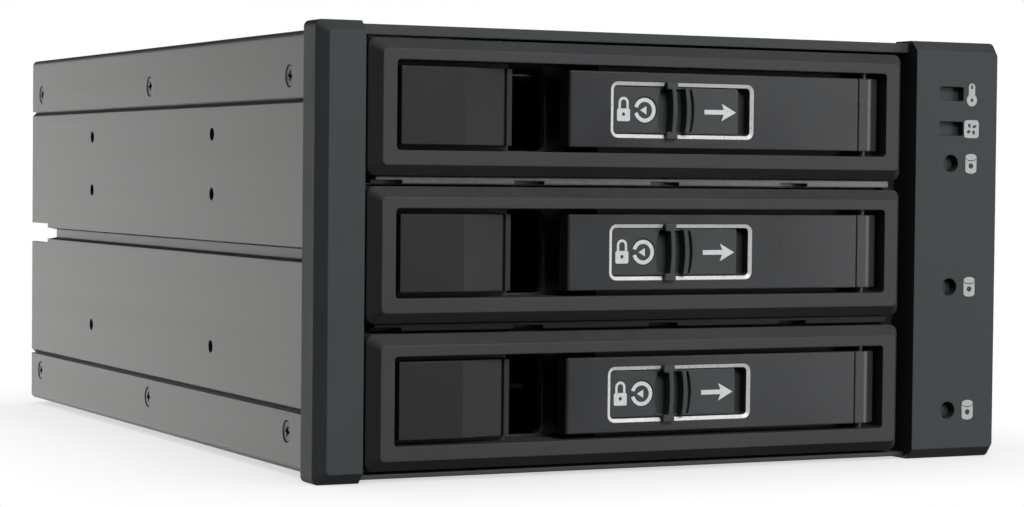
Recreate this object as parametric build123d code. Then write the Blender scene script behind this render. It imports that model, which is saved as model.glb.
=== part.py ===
from build123d import *
import os
from math import cos, radians, sin

# A cage that holds three 3.5-inch drives in two 5.25-inch bays.
# Millimetres: X runs to the right, Y to the rear and Z up. The front faces -Y.

# Cage, driving dimensions
bezel_wide = 148.8
bezel_high = 84.0
bezel_deep = 7.6
body_wide = 146.0
body_high = 81.3
body_deep = 179.5
body_low = 1.2
panel_thick = 1.0
cover_thick = 0.8
cover_bend = 1.2
panel_gap = 0.5
screw_proud = 1.8
past = 1.0
bay_pitch = 42.33

# Trays, driving dimensions
tray_count = 3
tray_pitch = 27.05
tray_low = 1.9
front_wide = 115.8
front_high = 25.1
tray_x = -5.8
drive_wide = 101.6
drive_side_gap = 0.2
arm_thick = 3.2
arm_high = 20.2
arm_long = 150.0
runner_proud = 1.3
slide_gap = 0.4

# Levels that follow from them
front_y = -(bezel_deep + body_deep + screw_proud) / 2
seat_y = front_y + bezel_deep
rear_y = seat_y + body_deep
body_top = body_low + body_high
half_body = body_wide / 2
bay_low = (bezel_high - 2 * bay_pitch) / 2
floor_z = body_low + cover_thick
ceiling_z = body_top - cover_thick

# Mounting holes of the 5.25-inch bay, tapped M3
mount_hole_r = 1.25
mount_collar_r = 2.2
mount_collar_long = 1.0
mount_y = (seat_y + 52.3, seat_y + 131.55)
mount_z = (bay_low + 21.84, bay_low + bay_pitch + 9.91, bay_low + bay_pitch + 21.84)

# Cover screws, countersunk M3
cover_screw_y = (seat_y + 10.5, seat_y + 91.3, seat_y + 171.8)
cover_screw_z = (8.3, 74.3)
screw_head_r = 2.15
screw_shank_r = 1.2
screw_long = 4.0
screw_socket = (0.6, 0.9, 0.4)
tapped_r = 1.25
top_flange_low = 70.2
bottom_flange_high = 12.1

# Guide groove and rear notch for the bay's shelf tabs
groove_z = (39.95, 42.65)
groove_deep = 2.2
notch_z = (39.1, 43.6)
notch_long = 13.0

# Front window of the bezel
window_x = (-65.3, 54.2)
window_z = (1.3, 81.6)
bezel_bevel = 2.0
bezel_right_bevel = 0.6
column_wall = 2.0
rim_back = 3.0
rim_drop = 0.5
column_hollow_z = (3.0, 81.0)
bezel_corner = 1.2
bezel_screw_x = (-69.85, 69.4)
bezel_screw_z = (20.0, 62.0)
bezel_boss_r = 2.4
bezel_screw_r = 1.0

# Indicators in the right column
lamp_x = 62.7
drive_lamp_z = (9.65, 34.6, 59.5)
alarm_lamp_z = (66.5, 73.5)
alarm_window = (5.75, 2.85)
drive_lamp_r = 1.75
lens_recess = 1.6
lens_gap = 0.05
lamp_board_thick = 1.2
lamp_board_x = (57.4, 66.5)
lamp_board_z = (5.0, 79.0)
lamp_chip = (3.0, 0.8, 2.0)

# Guide walls
wall_thick = 1.6
wall_in = drive_wide / 2 + drive_side_gap + arm_thick + runner_proud + slide_gap
wall_left = tray_x - wall_in
wall_right = tray_x + wall_in
ledge_thick = 1.5
runner_high = 2.6
runner_z = 17.0
ledge_start = seat_y + 8.0
ledge_end = seat_y + 150.0
flange_reach = 71.0
ledge_gap = 0.3
end_gap = 0.1
wall_slot_y = (31.0, 67.0, 103.0, 139.0)
wall_slot = (24.0, 5.0)
wall_slot_up = 8.0
divider_thick = 1.3
divider_drop = 0.15
divider_y = (seat_y - 4.0, seat_y + 14.0)
divider_tab_y = (seat_y + 3.0, seat_y + 11.0)
divider_notch_x = (-30.4, -1.3, 27.8)
divider_notch = (6.3, 2.5, 0.65)
divider_end_notch = 5.3
divider_slot_x = (-45.0, -20.0, 5.0, 30.0)
divider_slot = (16.0, 4.0)

# Backplane and what it carries
board_y = (seat_y + 159.5, seat_y + 161.1)
board_half = 69.3
board_air_x = (-48.0, -30.0, -12.0, 6.0, 24.0)
board_air = (15.0, 8.0)
board_air_up = 15.5
socket_x = tray_x + 20.0
socket_wide = 41.6
socket_deep = 8.0
socket_high = 7.0
socket_low = 1.0
socket_slots = ((-7.6, 21.5), (11.6, 11.2))
socket_slot_deep = 6.2
board_screw_x = 67.0
board_screw_z = (12.0, 72.0)
board_screw_r = 1.25
port_x = 20.0
port_pitch = 21.0
port_deep = 10.5
port_outer = (14.4, 6.2)
port_mouth = (10.8, 3.8)
port_tongue = (9.2, 1.2)
inlet_x = 47.0
inlet_up = 18.0
inlet_deep = 12.0
inlet_outer = (9.2, 23.0)
inlet_inner = (6.6, 20.4)
inlet_pin_pitch = 5.08
inlet_pin_r = 1.0
buzzer_x = 33.0
buzzer_r = 4.4
buzzer_deep = 7.5

# Rear panel and fan
fan_size = 70.0
fan_deep = 15.0
fan_hole = 30.0
fan_bore_r = 33.3
fan_x = -30.0
fan_z = (floor_z + ceiling_z) / 2
fan_y = (rear_y - panel_thick - fan_deep, rear_y - panel_thick)
hub_r = 14.5
cup_wall = 1.4
shaft_r = 1.5
shaft_gap = 0.03
bearing_r = 3.0
blade_count = 7
blade_sections = ((hub_r - 0.7, 52, 12.0, 1.6), (23.0, 40, 13.5, 1.2), (31.8, 30, 14.5, 0.8))
fan_screw_r = 2.1
fan_flange = 3.0
strut_wide = 3.0
strut_turns = (20, 110, 200, 290)
ring_radii = (7.0, 13.6, 20.2, 26.8)
ring_band = 5.0
spoke_wide = 3.0
port_window_x = (9.0, 61.0)
port_window_z = (9.0, 75.0)

# Tray front, seen from the front
face_y = front_y + 0.3
back_y = seat_y - 0.3
bevel_wide = 2.0
bevel_deep = 2.5
opening_wide = 106.2
opening_high = 16.5
opening_x = -5.9
opening_up = 12.9
back_wall = 1.3
pocket_x = (-33.8, -23.4)
front_wall_y = (seat_y + 4.0, seat_y + 5.6)
pocket_wall = 1.4
pocket_under = 8.6
plate_left = -57.7
plate_outline = ((plate_left, 0.9), (-44.9, 0.9), (-36.1, 2.8), (-36.0, 3.3), (-35.7, 3.3),
                 (-35.6, 2.6), (-34.7, 2.7), (-34.2, 3.3))

# Tray arms: slots, drive screws and the openings of the front wall
arm_slot_y = (41.0, 73.0, 105.0)
arm_slot = (22.0, 6.0)
arm_slot_up = 11.5
drive_front = 153.0
drive_hole_y = (28.5, 70.1, 130.1)
drive_hole_up = 6.45
drive_hole_r = 1.85
drive_sink = (1.6, 3.0)
wall_vents = ((-42.0, 22.0), (-28.6, 10.4), (5.0, 40.0))
wall_vent_high = 16.0
claw_way_x = (36.0, 46.9)
air_slot_x = (8.0, 16.0, 24.0)
air_slot_z = (-4.8, 4.8)
air_slot = (6.0, 2.2)

# Lever and latch
lever_y = face_y + 0.8
lever_thick = 3.8
lever_high = 14.3
lever_left = -23.4
barrel_r = 2.4
pivot_x = 43.3
pivot_y = lever_y + barrel_r
pin_r = 1.0
pin_gap = 0.05
pin_hold = 1.6
claw_reach = 6.2
claw_y = (4.1, 5.6)
claw_high = 4.0
claw_gap = 0.6
claw_outline = ((-1.8, 1.2), (1.5, 1.2), (1.5, claw_y[0]), (claw_reach - 0.8, claw_y[0]),
                (claw_reach, claw_y[0] + 0.7), (claw_reach - 0.8, claw_y[1]), (-1.8, claw_y[1]))
groove_x = (40.9, 41.2)
groove_cut = 0.25
facet = ((41.2, 0.0), (46.2, 1.3), (45.7, 2.4), (41.2, 2.4))
latch_window_x = (-14.6, 16.9)
latch_window_high = 10.7
rim = 0.75
rim_sink = 0.35
rim_round = 0.8
bar_round = 0.5
latch_x = (-13.7, 13.7)
latch_travel = 2.2
latch_deep = 2.4
plate_y = (lever_y + 0.6, lever_y + 2.2)
lock_x = -6.9
lock_r = 2.5
leg_x = (-4.0, 0.0)
leg_half = 3.0
leg_gap = 0.3
hook_reach = 1.7
hook_wide = 1.2
scoop_x = ((-3.5, -4.1), (3.3, 3.9))
scoop_deep = 0.7
tall_rib_x = ((-1.9, -1.6), (-1.0, -0.7))
tall_rib_proud = 1.0
bridge_x = (-2.9, -0.6)
bridge_reach = 5.45
low_rib_x = ((1.1, 1.5), (2.0, 2.4))
low_rib_proud = 0.8
key_r = 1.0

# Springs
leaf_x = (33.5, 28.5, 22.5, 20.0)
leaf_thick = 0.25
leaf_half = 2.0
wire_thick = 0.4
wire_step = 1.3
wire_turns = 8
wire_half = 1.4
wire_y = (lever_y + latch_deep + 0.6, lever_y + latch_deep + 1.1)


def block(x, y, z):
    """A box between two limits on each axis."""
    size = (x[1] - x[0], y[1] - y[0], z[1] - z[0])
    return Pos(x[0], y[0], z[0]) * Box(*size, align=(Align.MIN, Align.MIN, Align.MIN))


def rod(start, end, radius, end_radius=None):
    """A round bar, or a cone where the second radius differs."""
    line = Vector(*end) - Vector(*start)
    plane = Plane(origin=start, z_dir=line)
    base = (Align.CENTER, Align.CENTER, Align.MIN)
    if end_radius is None:
        return plane * Cylinder(radius, line.length, align=base)
    return plane * Cone(radius, end_radius, line.length, align=base)


def upright(y):
    """The plane at this depth, seen from the front."""
    return Plane(origin=(0, y, 0), x_dir=(1, 0, 0), z_dir=(0, -1, 0))


def slab(outline, y):
    """An outline drawn in X and Z, run from one depth to another."""
    return extrude(upright(y[1]) * outline, amount=y[1] - y[0])


def plan(points, z):
    """An outline drawn in X and Y, run from one height to another."""
    outline = Polygon(*points, align=None)
    return extrude(Plane.XY.offset(z[0]) * outline, amount=z[1] - z[0])


def rounded(x, z, wide, high, radius):
    return Pos(x, z) * RectangleRounded(wide, high, radius)


def folded_sheet(points, thick, bend, y):
    """Bent sheet metal: its outer line, thickened to the right of its direction."""
    with BuildSketch(Plane.XZ) as section:
        with BuildLine():
            if bend:
                FilletPolyline(*points, radius=bend)
            else:
                Polyline(*points)
            offset(amount=thick, side=Side.RIGHT)
        make_face()
    return Pos(0, y[1], 0) * extrude(section.sketch, amount=y[1] - y[0])


def both_sides(part):
    return [part, mirror(part, about=Plane.YZ)]


def tray_base(number):
    """The lowest point of a tray's front; tray 1 is at the top."""
    return tray_low + (tray_count - number) * tray_pitch


def cover_screw_places():
    return [(y, z) for y in cover_screw_y for z in cover_screw_z]


def left_side_panel():
    joggle = cover_thick
    section = [
        (joggle, floor_z + panel_gap), (joggle, bottom_flange_high + 0.2), (0, bottom_flange_high + 1.0),
        (0, groove_z[0]), (groove_deep, groove_z[0] + 0.4), (groove_deep, groove_z[1] - 0.4),
        (0, groove_z[1]), (0, top_flange_low - 1.0), (joggle, top_flange_low - 0.2),
        (joggle, ceiling_z - panel_gap),
    ]
    outer = [(x - half_body, z) for x, z in section]
    panel = folded_sheet(outer, panel_thick, 0, (seat_y, rear_y))
    through = (-half_body - past, -half_body + 5 * past)
    panel -= block(through, (rear_y - notch_long, rear_y + past), notch_z)
    for y, z in cover_screw_places():
        panel -= rod((through[0], y, z), (through[1], y, z), tapped_r)
    for y in mount_y:
        for z in mount_z:
            face = -half_body + panel_thick
            collar = rod((face, y, z), (face + mount_collar_long, y, z), mount_collar_r, mount_collar_r - 0.3)
            panel += collar
            panel -= rod((through[0], y, z), (through[1], y, z), mount_hole_r)
    return panel


def cover(points, screw_z):
    """A sheet folded over both sides, with countersunk holes in its flanges."""
    sheet = folded_sheet(points, cover_thick, cover_bend, (seat_y, rear_y))
    for y in cover_screw_y:
        sink = rod((-half_body, y, screw_z), (-half_body + cover_thick, y, screw_z),
                   screw_head_r, screw_head_r - cover_thick)
        for cone in both_sides(sink):
            sheet -= cone
    return sheet


def top_cover():
    return cover([(-half_body, top_flange_low), (-half_body, body_top),
                  (half_body, body_top), (half_body, top_flange_low)], cover_screw_z[1])


def bottom_cover():
    return cover([(half_body, bottom_flange_high), (half_body, body_low),
                  (-half_body, body_low), (-half_body, bottom_flange_high)], cover_screw_z[0])


def cover_screws():
    screws = []
    for y, z in cover_screw_places():
        under = -half_body + cover_thick
        head = rod((-half_body, y, z), (under, y, z), screw_head_r, screw_head_r - cover_thick)
        shank = rod((under, y, z), (under + screw_long, y, z), screw_shank_r)
        deep, wide, narrow = screw_socket
        socket = rod((-half_body, y, z), (-half_body + deep, y, z), wide, narrow)
        screws += both_sides(head + shank - socket)
    return screws


def front_bezel():
    low, high = bezel_bevel, bezel_high - bezel_bevel
    left, right = -bezel_wide / 2 + bezel_bevel, bezel_wide / 2 - bezel_right_bevel
    face = rounded((left + right) / 2, (low + high) / 2, right - left, high - low, 0.8)
    outline = rounded(0, bezel_high / 2, bezel_wide, bezel_high, bezel_corner)
    bezel = loft([upright(front_y) * face, upright(front_y + bezel_bevel) * outline], ruled=True)
    bezel += slab(outline, (front_y + bezel_bevel, seat_y))
    whole = (front_y - past, seat_y + past)
    bezel -= block(window_x, whole, window_z)
    bezel -= block(window_x, (front_y - past, front_y + rim_back), (-past, bezel_high + past))
    for z in ((-past, rim_drop), (bezel_high - rim_drop, bezel_high + past)):
        bezel -= block(window_x, whole, z)
    hollow = (front_y + column_wall + 0.2, seat_y + past)
    side = bezel_wide / 2 - column_wall
    bezel -= block((-side, window_x[0] - column_wall), hollow, column_hollow_z)
    bezel -= block((window_x[1] + column_wall, side), hollow, column_hollow_z)
    for x, z in bezel_screw_places():
        boss = rod((x, front_y + column_wall, z), (x, seat_y, z), bezel_boss_r)
        bezel += boss - rod((x, front_y + 2 * column_wall, z), (x, seat_y + past, z), bezel_screw_r)
    through = (front_y - past, front_y + column_wall + past)
    for z in alarm_lamp_z:
        bezel -= slab(rounded(lamp_x, z, *alarm_window, 0.3), through)
    for z in drive_lamp_z:
        bezel -= rod((lamp_x, through[0], z), (lamp_x, through[1], z), drive_lamp_r)
    return bezel


def bezel_screw_places():
    return [(x, z) for x in bezel_screw_x for z in bezel_screw_z]


def bezel_screws():
    screws = []
    for x, z in bezel_screw_places():
        head_y = seat_y + wall_thick
        head = rod((x, head_y, z), (x, head_y + 1.5, z), 1.9)
        screws.append(head + rod((x, seat_y - 3.0, z), (x, head_y, z), bezel_screw_r - 0.05))
    return screws


def lamp_board():
    return block(lamp_board_x, (seat_y - lamp_board_thick, seat_y), lamp_board_z)


def lamp_chips():
    wide, deep, high = lamp_chip
    y = (seat_y - lamp_board_thick - deep, seat_y - lamp_board_thick)
    return [block((lamp_x - wide / 2, lamp_x + wide / 2), y, (z - high / 2, z + high / 2))
            for z in drive_lamp_z + alarm_lamp_z]


def lens_depth():
    return (front_y + lens_recess, seat_y - lamp_board_thick - lamp_chip[1] - 0.1)


def alarm_windows():
    wide, high = (size - 2 * lens_gap for size in alarm_window)
    return [slab(rounded(lamp_x, z, wide, high, 0.25), lens_depth()) for z in alarm_lamp_z]


def drive_lenses():
    start, end = lens_depth()
    lenses = []
    for z in drive_lamp_z:
        lens = rod((lamp_x, start, z), (lamp_x, end, z), drive_lamp_r - lens_gap)
        lenses.append(fillet(lens.faces().sort_by(Axis.Y)[0].edges(), 0.5))
    return lenses


def guide_wall(side):
    """One upright wall with a pair of ledges for each tray's runner."""
    inner = wall_left if side < 0 else wall_right
    outer = inner + side * wall_thick
    x = sorted((inner, outer))
    height = (floor_z + end_gap, ceiling_z - end_gap)
    wall = block(x, (seat_y, board_y[0]), height)
    flange_x = sorted((outer, side * flange_reach))
    for y in ((seat_y, seat_y + wall_thick), (board_y[0] - wall_thick, board_y[0])):
        wall += block(flange_x, y, height)
    behind_groove = half_body - groove_deep - panel_thick - 0.6
    clear_x = sorted((side * behind_groove, side * (flange_reach + past)))
    clear_z = (groove_z[0] - panel_thick - 0.4, groove_z[1] + panel_thick + 0.4)
    wall -= block(clear_x, (seat_y - past, board_y[0] + past), clear_z)
    ledge_x = sorted((inner, inner - side * runner_proud))
    for number in range(1, tray_count + 1):
        base = tray_base(number)
        low = base + runner_z - ledge_gap
        high = base + runner_z + runner_high + ledge_gap
        wall += block(ledge_x, (ledge_start, ledge_end), (low - ledge_thick, low))
        wall += block(ledge_x, (ledge_start, ledge_end), (high, high + ledge_thick))
        if number < tray_count:
            wall -= block(x, divider_tab_y, divider_z(number))
        for y in wall_slot_y:
            slot = Pos(seat_y + y, base + wall_slot_up) * SlotOverall(*wall_slot)
            wall -= extrude(Plane.YZ.offset(x[0] - past) * slot, amount=wall_thick + 2 * past)
    for x_screw, z in bezel_screw_places():
        if x_screw * side > 0:
            wall -= rod((x_screw, seat_y - past, z), (x_screw, seat_y + 3 * past, z), bezel_screw_r)
    for z in board_screw_z:
        place = side * board_screw_x
        wall -= rod((place, board_y[0] - 3 * past, z), (place, board_y[0] + past, z), board_screw_r)
    return wall


def divider_z(number):
    """Height of the strip under this tray."""
    top = tray_base(number) - divider_drop
    return (top - divider_thick, top)


def divider(number):
    z = divider_z(number)
    strip = block((wall_left, wall_right), divider_y, z)
    strip += block((wall_left - wall_thick, wall_right + wall_thick), divider_tab_y, z)
    wide, deep, high = divider_notch
    notches = [(x - wide / 2, x + wide / 2) for x in divider_notch_x]
    notches.append((wall_left, wall_left + divider_end_notch))
    for x in notches:
        strip -= block(x, (divider_y[0] - past, divider_y[0] + deep), (z[0] - past, z[0] + high))
    for x in divider_slot_x:
        slot = Pos(x, sum(divider_tab_y) / 2) * SlotOverall(*divider_slot)
        strip -= extrude(Plane.XY.offset(z[0]) * slot, amount=divider_thick)
    return strip


def backplane_board():
    board = block((-board_half, board_half), board_y, (floor_z + 1.5, ceiling_z - 1.5))
    through = (board_y[0] - past, board_y[1] + past)
    for number in range(1, tray_count + 1):
        for x in board_air_x:
            board -= slab(Pos(x, tray_base(number) + board_air_up) * SlotOverall(*board_air), through)
    for x in (-board_screw_x, board_screw_x):
        for z in board_screw_z:
            board -= rod((x, through[0], z), (x, through[1], z), board_screw_r + 0.25)
    return board


def board_screws():
    screws = []
    for x in (-board_screw_x, board_screw_x):
        for z in board_screw_z:
            head = rod((x, board_y[1], z), (x, board_y[1] + 1.6, z), 2.6)
            screws.append(head + rod((x, board_y[0] - 2.5, z), (x, board_y[1], z), board_screw_r))
    return screws


def drive_socket(number):
    """The receptacle that a drive's plug slides into: a long and a short slot, side horns."""
    low = tray_base(number) + socket_low
    z = (low, low + socket_high)
    y = (board_y[0] - socket_deep, board_y[0])
    half = socket_wide / 2
    body = block((socket_x - half, socket_x + half), y, z)
    middle = (z[0] + z[1]) / 2
    for place, long in socket_slots:
        x = socket_x + place
        floor_y = y[0] + socket_slot_deep
        slot = block((x - long / 2, x + long / 2), (y[0] - past, floor_y), (middle - 1.3, middle + 1.3))
        tongue_half = long / 2 - 0.8
        tongue = block((x - tongue_half, x + tongue_half), (y[0] + 0.8, floor_y),
                       (middle - 0.9, middle + 0.3))
        body -= slot - tongue
    for side in (-1, 1):
        x = socket_x + side * (half - 1.0)
        body -= block((x - 1.0, x + 1.0), (y[0] - past, y[0] + 3.5), (z[1] - 2.2, z[1] + past))
    return body


def data_port(number):
    """A seven-contact port on the rear of the board: a shell around a tongue."""
    z = fan_z + (2 - number) * port_pitch
    y = (board_y[1], board_y[1] + port_deep)
    mouth_wide, mouth_high = port_mouth
    tongue_wide, tongue_high = port_tongue
    floor_y = y[1] - 7.5
    shell = slab(rounded(port_x, z, *port_outer, 0.6), y)
    shell -= block((port_x - mouth_wide / 2, port_x + mouth_wide / 2), (floor_y, y[1] + past),
                   (z - mouth_high / 2, z + mouth_high / 2))
    shell += block((port_x - tongue_wide / 2, port_x + tongue_wide / 2), (floor_y - 0.1, y[1] - 1.0),
                   (z - tongue_high / 2, z + tongue_high / 2))
    return shell


def power_inlet(number):
    """A four-pin power header: a keyed shroud around round pins."""
    z = fan_z + (inlet_up if number == 1 else -inlet_up)
    y = (board_y[1], board_y[1] + inlet_deep)
    outer, inner = (
        Pos(inlet_x, z) * chamfer(Rectangle(*size).vertices().group_by(Axis.X)[-1], size[0] / 4.4)
        for size in (inlet_outer, inlet_inner))
    shroud = slab(outer, y) - slab(inner, (y[0] + 2.5, y[1] + past))
    for index in range(4):
        pin_z = z + (index - 1.5) * inlet_pin_pitch
        shroud += rod((inlet_x, y[0] + 2.0, pin_z), (inlet_x, y[1] - 2.5, pin_z), inlet_pin_r)
    return shroud


def buzzer():
    top_y = board_y[1] + buzzer_deep
    body = rod((buzzer_x, board_y[1], fan_z), (buzzer_x, top_y, fan_z), buzzer_r)
    return body - rod((buzzer_x, top_y - 1.0, fan_z), (buzzer_x, top_y + past, fan_z), 0.8)


def fan_corners():
    return [(fan_x + i * fan_hole, fan_z + k * fan_hole) for i in (-1, 1) for k in (-1, 1)]


def grille_cuts():
    """Ring-shaped openings of the stamped finger guard, broken by four spokes."""
    rings = None
    for inner in ring_radii:
        ring = Circle(inner + ring_band) - Circle(inner)
        rings = ring if rings is None else rings + ring
    for turn in (45, 135):
        rings -= Rot(0, 0, turn) * Rectangle(fan_size * 1.2, spoke_wide)
    return slab(Pos(fan_x, fan_z) * rings, (rear_y - panel_thick - past, rear_y + past))


def rear_panel():
    y = (rear_y - panel_thick, rear_y)
    z = (floor_z + end_gap, ceiling_z - end_gap)
    panel = block((-flange_reach, flange_reach), y, z)
    lip_half, lip_deep, notch_in = 60.0, 9.0, 65.0
    for low in (z[0], z[1] - panel_thick):
        panel += block((-lip_half, lip_half), (rear_y - lip_deep, rear_y), (low, low + panel_thick))
    for x in ((-flange_reach - past, -notch_in), (notch_in, flange_reach + past)):
        panel -= block(x, (rear_y - 3, rear_y + past), (notch_z[0] - 0.5, notch_z[1] + 0.5))
    wide = port_window_x[1] - port_window_x[0]
    high = port_window_z[1] - port_window_z[0]
    middle = (sum(port_window_x) / 2, sum(port_window_z) / 2)
    panel -= slab(rounded(*middle, wide, high, 2.0), (rear_y - 3, rear_y + past))
    panel -= grille_cuts()
    for x, z_hole in fan_corners():
        panel -= rod((x, rear_y - 2, z_hole), (x, rear_y + past, z_hole), fan_screw_r)
    return panel


def fan_frame():
    outline = rounded(fan_x, fan_z, fan_size, fan_size, 4.0)
    frame = slab(outline, (fan_y[0], fan_y[0] + fan_flange))
    frame += slab(outline, (fan_y[1] - fan_flange, fan_y[1]))
    frame += rod((fan_x, fan_y[0], fan_z), (fan_x, fan_y[1], fan_z), fan_bore_r + 1.5)
    whole = (fan_y[0] - past, fan_y[1] + past)
    frame -= rod((fan_x, whole[0], fan_z), (fan_x, whole[1], fan_z), fan_bore_r)
    mount = rod((fan_x, fan_y[1] - 2, fan_z), (fan_x, fan_y[1], fan_z), hub_r)
    mount += rod((fan_x, fan_y[0] + 4, fan_z), (fan_x, fan_y[1] - 1, fan_z), bearing_r + 1.0)
    for turn in strut_turns:
        high = (-strut_wide / 2, strut_wide / 2)
        strut = block((hub_r - 2, fan_bore_r + 0.8), (fan_y[1] - 2, fan_y[1]), high)
        mount += Pos(fan_x, 0, fan_z) * Rot(0, turn, 0) * strut
    mount -= rod((fan_x, fan_y[0], fan_z), (fan_x, fan_y[1] - 1, fan_z), bearing_r)
    frame += mount
    for x, z in fan_corners():
        frame -= rod((x, whole[0], z), (x, whole[1], z), fan_screw_r)
    return frame


def fan_bearing():
    start, end = (fan_x, fan_y[0] + 4.5, fan_z), (fan_x, fan_y[1] - 1, fan_z)
    return rod(start, end, bearing_r) - rod(start, end, shaft_r + shaft_gap)


def fan_shaft():
    return rod((fan_x, fan_y[0] + 1.8, fan_z), (fan_x, fan_y[1] - 2, fan_z), shaft_r)


def fan_rotor():
    """A cup with swept blades, each set steeper at the hub than at the tip."""
    front, back = fan_y[0] + 0.8, fan_y[1]
    cup = rod((0, front, 0), (0, back - 2.6, 0), hub_r)
    cup = fillet(cup.faces().sort_by(Axis.Y)[0].edges(), 1.5)
    cup -= rod((0, front + cup_wall, 0), (0, back, 0), hub_r - cup_wall)
    cup += rod((0, front + cup_wall / 2, 0), (0, front + 3.4, 0), bearing_r - 0.2)
    cup -= rod((0, front + 1.0, 0), (0, back, 0), shaft_r)
    middle = (fan_y[0] + fan_y[1]) / 2 - 0.9
    sections = []
    for radius, pitch, chord, thick in blade_sections:
        plane = Plane(origin=(radius, middle, 0), x_dir=(0, sin(radians(pitch)), cos(radians(pitch))),
                      z_dir=(1, 0, 0))
        sections.append(plane * Rectangle(chord, thick))
    blade = loft(sections, ruled=True)
    for index in range(blade_count):
        cup += Rot(0, index * 360 / blade_count, 0) * blade
    return Pos(fan_x, 0, fan_z) * cup


def fan_screws():
    screws = []
    for x, z in fan_corners():
        head = rod((x, rear_y, z), (x, rear_y + screw_proud, z), 3.6, 2.6)
        screws.append(head + rod((x, rear_y - 9, z), (x, rear_y, z), fan_screw_r - 0.1))
    return screws


def tray_carrier(number):
    """Two arms with runners and a front wall; the drive screws between the arms."""
    base = tray_base(number)
    middle = base + opening_up
    inner = drive_wide / 2 + drive_side_gap
    low = base + 0.25
    high = base + front_high - 0.1
    carrier = block((tray_x - inner - arm_thick, tray_x + inner + arm_thick), front_wall_y, (low, high))
    arm_y = (back_y, seat_y + arm_long)
    for side in (-1, 1):
        near = tray_x + side * inner
        far = near + side * arm_thick
        arm = block(sorted((near, far)), arm_y, (low, low + arm_high))
        arm = chamfer(arm.edges().filter_by(Axis.X).sort_by(Axis.Y)[-2:], 4.0)
        arm += block(sorted((far, far + side * runner_proud)), (ledge_start, arm_y[1] - 5),
                     (base + runner_z, base + runner_z + runner_high))
        for y in arm_slot_y:
            slot = Pos(seat_y + y, base + arm_slot_up) * SlotOverall(*arm_slot)
            arm -= extrude(Plane.YZ.offset(min(near, far) - past) * slot, amount=arm_thick + 2 * past)
        for from_rear in drive_hole_y:
            y = seat_y + drive_front - from_rear
            z = base + drive_hole_up
            sink_deep, sink_r = drive_sink
            arm -= rod((near - side, y, z), (far + side, y, z), drive_hole_r)
            arm -= rod((far - side * sink_deep, y, z), (far, y, z), drive_hole_r, sink_r)
        carrier += arm
    claw_half = claw_high / 2 + claw_gap
    claw_way = (middle - claw_half, middle + claw_half)
    carrier -= block((claw_way_x[0] - 6.0, 60.0), (back_y - past, front_wall_y[1] + 0.1), claw_way)
    for x, wide in wall_vents:
        vent = rounded(x, middle, wide, wall_vent_high, 1.5)
        carrier -= slab(vent, (front_wall_y[0] - past, front_wall_y[1] + past))
    return carrier


def tray_front(number):
    """The moulded frame: bevelled edges, finger pocket, ramp and the lever's recess."""
    base = tray_base(number)
    middle = base + opening_up
    centre = base + front_high / 2
    face = rounded(tray_x, centre, front_wide - 2 * bevel_wide, front_high - 2 * bevel_wide, 0.9)
    outline = rounded(tray_x, centre, front_wide, front_high, 1.6)
    front = loft([upright(face_y) * face, upright(face_y + bevel_deep) * outline], ruled=True)
    front += slab(outline, (face_y + bevel_deep, back_y))
    floor_y = back_y - back_wall
    front -= slab(rounded(opening_x, middle, opening_wide, opening_high, 0.7), (face_y - past, floor_y))
    high = (middle - lever_high / 2, middle + lever_high / 2)
    root = floor_y + 0.5
    points = [(x, face_y + y) for x, y in plate_outline]
    front += plan([(plate_left, root), *points, (points[-1][0], root)], high)
    half = opening_high / 2
    pocket_outer = (pocket_x[0] - pocket_wall, pocket_x[1] + pocket_under + pocket_wall)
    front += block(pocket_outer, (back_y - 0.5, front_wall_y[0]),
                   (middle - half - pocket_wall, middle + half + pocket_wall))
    through = (floor_y - past, back_y + past)
    front -= block((pocket_x[0], pocket_x[1] + pocket_under),
                   (floor_y - past, front_wall_y[0] + past), (middle - half, middle + half))
    front -= block((leg_x[0] - 5.0, leg_x[1] + latch_travel + 1.5), through,
                   (middle - leg_half - 0.8, middle + leg_half + 0.8))
    claw_half = claw_high / 2 + claw_gap
    front -= block(claw_way_x, through, (middle - claw_half, middle + claw_half))
    for x in air_slot_x:
        for z in air_slot_z:
            front -= slab(Pos(x, middle + z) * SlotOverall(*air_slot), through)
    reach = half + pin_hold
    front -= rod((pivot_x, pivot_y, middle - reach), (pivot_x, pivot_y, middle + reach), pin_r)
    return front


def lever_pin(number):
    middle = tray_base(number) + opening_up
    reach = opening_high / 2 + pin_hold
    return rod((pivot_x, pivot_y, middle - reach), (pivot_x, pivot_y, middle + reach), pin_r)


def lever_spring(number):
    """A leaf that presses on the back of the lever."""
    middle = tray_base(number) + opening_up
    floor_y = back_y - back_wall
    back = lever_y + lever_thick + 0.1
    near = [floor_y - leaf_thick, floor_y - leaf_thick, back, back + leaf_thick]
    far = [floor_y, floor_y, back + leaf_thick, back + 2 * leaf_thick]
    points = list(zip(leaf_x, near)) + list(zip(leaf_x, far))[::-1]
    return plan(points, (middle - leaf_half, middle + leaf_half))


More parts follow.
